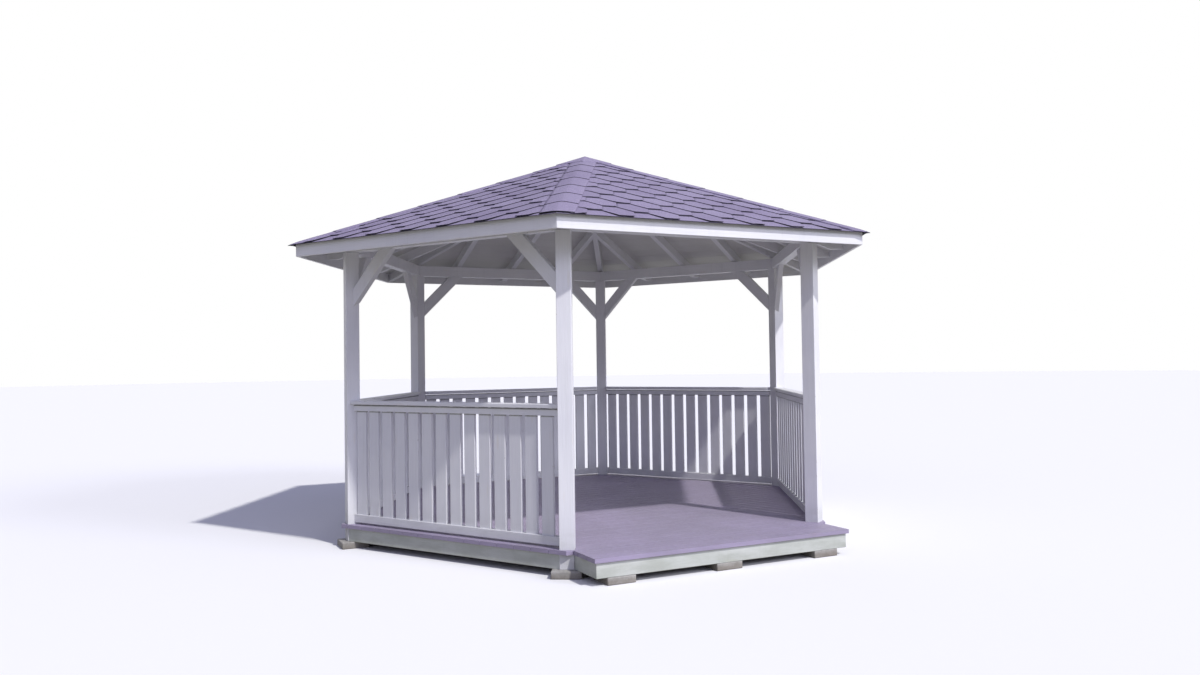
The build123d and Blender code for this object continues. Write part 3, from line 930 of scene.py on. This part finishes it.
def tab_plate(shape, layers, centre, up):
    """One tab and the part of its sheet above it, which the next two courses cover."""
    own = chance.random()
    slip = chance.uniform(-0.0025, 0.0025)
    curl = [max(0.0, chance.gauss(0.0012, 0.0012)) for _ in range(3)]
    depth = COURSE - 0.003
    knee = 0.030              # a row of points near the foot, so that the tab can curl
    foot = TAB_FOOT / 2
    halves = [(0.0, foot), (knee, foot + TAB_SLANT * knee / depth), (depth, foot + TAB_SLANT),
              (depth + 0.0004, TAB_PITCH / 2), (2.12 * COURSE, TAB_PITCH / 2)]
    rows = []
    for v, half in halves:
        base = BED + FELT + LAP_RISE * (1 - v / LAP_RUN)
        bend = (1 - v / CURL_RUN) ** 2 if v < CURL_RUN else 0.0
        row = []
        for u, rise in ((-half, curl[0]), (0.0, curl[1] * 0.5), (half, curl[2])):
            row.append(((centre + slip + u, up + v), (u, v), base + bend * rise))
        rows.append(row)
    plate(shape, rows, layers, own)


def trim_to_hips(shape):
    """Cut away what lies beyond the two hips of the slope that faces +Y, and close the cuts."""
    for sign in (-1, 1):
        out = Vector((sign * COS30, -SIN30, 0.0))
        for face in cut_and_close(shape, out * -HIP_GAP, out, clear_outer=True):
            face.material_index = 1


def press_under_caps(shape):
    """Flatten the sheets beside both hips of the slope that faces +Y, where the caps press on them."""
    square = Vector((0.0, math.sin(PITCH), math.cos(PITCH)))
    for sign in (-1, 1):
        out = Vector((sign * COS30, -SIN30, 0.0))
        for line in (CAP_HALF, CAP_HALF + PRESS_FADE):
            bisect(shape, out * -line, out)
        for vert in shape.verts:
            share = 1 - min(1.0, max(0.0, (-vert.co.dot(out) - CAP_HALF) / PRESS_FADE))
            height = (vert.co.z - roof_top + vert.co.y * math.tan(PITCH)) * math.cos(PITCH)
            vert.co -= square * height * (1 - PRESSED) * share


def cover_slope(side):
    """The starter strip and all the courses of one slope."""
    shape = bmesh.new()
    layers = felt_layers(shape)
    width = EAVE * TAN30
    ends = (-width, -width / 3, width / 3, width)
    starter = [[((along, up), (0.0, PLAIN), BED + FELT) for along in ends] for up in (-0.002, 0.2)]
    plate(shape, starter, layers, 0.4)
    length = EAVE / math.cos(PITCH)
    for number in range(int(length / COURSE) + 1):
        up = number * COURSE
        half = (EAVE - up * math.cos(PITCH)) * TAN30
        shift = TAB_PHASE[side] + (0.0 if number % 2 else TAB_PITCH / 2)
        first = math.floor((-half - shift) / TAB_PITCH)
        for index in range(first, first + int(2 * half / TAB_PITCH) + 3):
            centre = shift + index * TAB_PITCH
            if abs(centre) < half + TAB_PITCH * 0.55:
                tab_plate(shape, layers, centre, up + chance.uniform(-0.001, 0.001))
    trim_to_hips(shape)
    press_under_caps(shape)
    bmesh.ops.transform(shape, matrix=turned_to(side), verts=shape.verts)
    bmesh.ops.recalc_face_normals(shape, faces=shape.faces)
    new_piece(f"felt_{side}", shape, [roof_felt, cut_felt], [f"shingles_{side}"])


for side in SIDE_HEADINGS:
    cover_slope(side)

# %% [markdown]
# ## Hip caps
#
# The line where two slopes meet is covered with folded pieces of the same felt, laid from the eave up so
# that each one laps over the piece below. At five corners the lowest one runs out to a point and droops,
# and at the front left one it is short. A folded sheet has a soft ridge and not a sharp one, so the section
# is drawn with a small round over the hip. The apex cap keeps its plain solid, in the colour of the felt.

# %% Hip caps
CAP_LAP = 0.33                # from the lower edge of one piece to the next
CAP_LENGTH = 0.40
CAP_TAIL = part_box("hip_caps")[1].x
CAP_HEAD = 0.20               # the upper edge of the highest piece, from the middle of the roof
CAP_ROWS, CAP_STRIPS = 6, 12  # how each piece is divided along and across
CAP_LIFT, CAP_RISE = 0.0122, 0.0042   # above the boards, and how much more at the lower edge
DROOP, DROOP_RUN = 0.008, 0.10        # of the lowest piece, and over what length
SHORT_CORNER = 4              # the front left one, counted from +X


def hip_height(x, across):
    """Height of the boards' plane beside the hip that runs along +X, with a rounded ridge."""
    radius, sunk = 0.014, 0.006       # of the round, and how far it is let down
    round_across = math.sqrt(across ** 2 + radius ** 2) - sunk
    return roof_top - (x * COS30 + round_across * SIN30) * math.tan(PITCH)


def cap_piece(shape, layers, tail, head, trim):
    """One folded piece from its lower edge, tail, to its upper one. The lowest is cut back to the eave
    by trim: 0 is straight across, 1 is along both eaves, and more than 1 is to a point."""
    own = chance.random()
    tab, tone = layers
    lift_side = [chance.uniform(0.0, 0.002) for _ in range(2)]
    grid = []
    for step in range(CAP_ROWS + 1):
        x = tail + (head - tail) * (step / CAP_ROWS) ** 1.6
        along = tail - x
        cut_back = trim * (1 - step / CAP_ROWS)
        lift = CAP_LIFT + CAP_RISE * (1 - along / CAP_LENGTH)
        droop = DROOP * max(0.0, 1 - along / DROOP_RUN) ** 2 if tail > CAP_TAIL - 0.01 else 0.0
        top, under = [], []
        for i in range(CAP_STRIPS + 1):
            place = i / (CAP_STRIPS / 2) - 1      # from -1 at one long edge to 1 at the other
            across = CAP_HALF * place
            edge = abs(place) ** 4 * (lift_side[place > 0] * (1 - along / CAP_LENGTH) - 0.0015)
            here = x - cut_back * abs(across) * TAN30
            z = hip_height(here, across) + lift + edge - droop
            pressed = 0.006 if i in (0, CAP_STRIPS) else 0.0      # the long edges are stuck down
            for store, sink in ((top, 0.0), (under, FELT + pressed)):
                vert = shape.verts.new((here, across, z - sink))
                vert[tab] = Vector((across, PLAIN, own))
                vert[tone] = own
                store.append(vert)
        grid.append((top, under))
    for (top0, under0), (top1, under1) in zip(grid, grid[1:]):
        for i in range(CAP_STRIPS):
            face = shape.faces.new((top0[i], top0[i + 1], top1[i + 1], top1[i]))
            face.smooth = True
            shape.faces.new((under0[i], under1[i], under1[i + 1], under0[i + 1])).material_index = 1
        for i in (0, -1):
            shape.faces.new((top0[i], top1[i], under1[i], under0[i]))
    for top, under in (grid[0], grid[-1]):
        for i in range(CAP_STRIPS):
            shape.faces.new((top[i], under[i], under[i + 1], top[i + 1])).material_index = 1


shape = bmesh.new()
layers = felt_layers(shape)
for corner in range(6):
    before = set(shape.verts)
    held_back, trim = (0.030, 0.9) if corner == SHORT_CORNER else (0.0005, 1.4)
    tail = CAP_TAIL - held_back
    while tail > CAP_HEAD + 0.05:
        cap_piece(shape, layers, tail, max(tail - CAP_LENGTH, CAP_HEAD - 0.03), trim)
        tail -= CAP_LAP
        trim = 0.0
    new = [vert for vert in shape.verts if vert not in before]
    bmesh.ops.transform(shape, matrix=Matrix.Rotation(math.radians(60 * corner), 4, "Z"), verts=new)
bmesh.ops.recalc_face_normals(shape, faces=shape.faces)
new_piece("folded_hip_caps", shape, [roof_felt, cut_felt], ["hip_caps"])

nodes["apex_cap"].data.materials.clear()
nodes["apex_cap"].data.materials.append(roof_felt)
